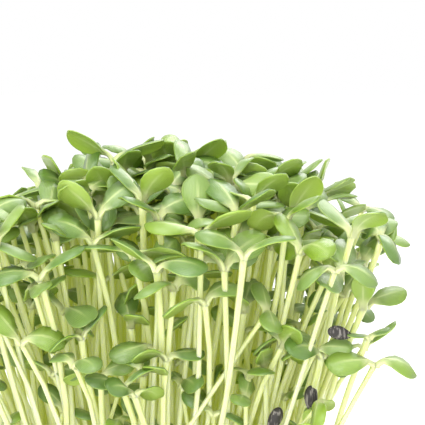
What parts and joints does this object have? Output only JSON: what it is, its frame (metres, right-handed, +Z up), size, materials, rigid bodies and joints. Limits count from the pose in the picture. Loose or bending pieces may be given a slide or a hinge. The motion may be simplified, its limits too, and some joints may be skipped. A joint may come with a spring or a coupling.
{
  "type": "sunflower microgreens tray",
  "caption": "Square tray of growing medium with a dense stand of sunflower shoots, each a pale stem with a pair of seed leaves, leaning out towards the edges.",
  "frame": {"origin": "centre of the tray's underside", "axes": "+Z up, out of the tray; -Y towards the front, with the lowest late shoots; +X to the right seen from the front"},
  "size_m": [0.194, 0.1739, 0.1722],
  "materials": {
    "tray": "satin",
    "medium": "matte",
    "shoot": "satin",
    "hull": "matte"
  },
  "bodies": {
    "root": {"tray": "tray", "growing_medium": "medium", "shoot_01": "shoot", "shoot_02": "shoot", "shoot_03": "shoot", "shoot_04": "shoot", "shoot_05": "shoot", "shoot_06": "shoot", "shoot_07": "shoot", "shoot_08": "shoot", "shoot_09": "shoot", "shoot_10": "shoot", "shoot_11": "shoot", "shoot_12": "shoot", "shoot_13": "shoot", "shoot_14": "shoot", "shoot_15": "shoot", "shoot_16": "shoot", "shoot_17": "shoot", "shoot_18": "shoot", "shoot_19": "shoot", "shoot_20": "shoot", "shoot_21": "shoot", "shoot_22": "shoot", "shoot_23": "shoot", "shoot_24": "shoot", "shoot_25": "shoot", "shoot_26": "shoot", "shoot_27": "shoot", "shoot_28": "shoot", "shoot_29": "shoot", "shoot_30": "shoot", "shoot_31": "shoot", "shoot_32": "shoot", "shoot_33": "shoot", "shoot_34": "shoot", "shoot_35": "shoot", "shoot_36": "shoot", "shoot_37": "shoot", "shoot_38": "shoot", "shoot_39": "shoot", "shoot_40": "shoot", "shoot_41": "shoot", "shoot_42": "shoot", "shoot_43": "shoot", "shoot_44": "shoot", "shoot_45": "shoot", "shoot_46": "shoot", "shoot_47": "shoot", "shoot_48": "shoot", "shoot_49": "shoot", "shoot_50": "shoot", "shoot_51": "shoot", "shoot_52": "shoot", "shoot_53": "shoot", "shoot_54": "shoot", "hull_on_shoot_1": "hull", "hull_on_shoot_2": "hull", "hull_on_shoot_3": "hull"}
  },
  "joints": []
}
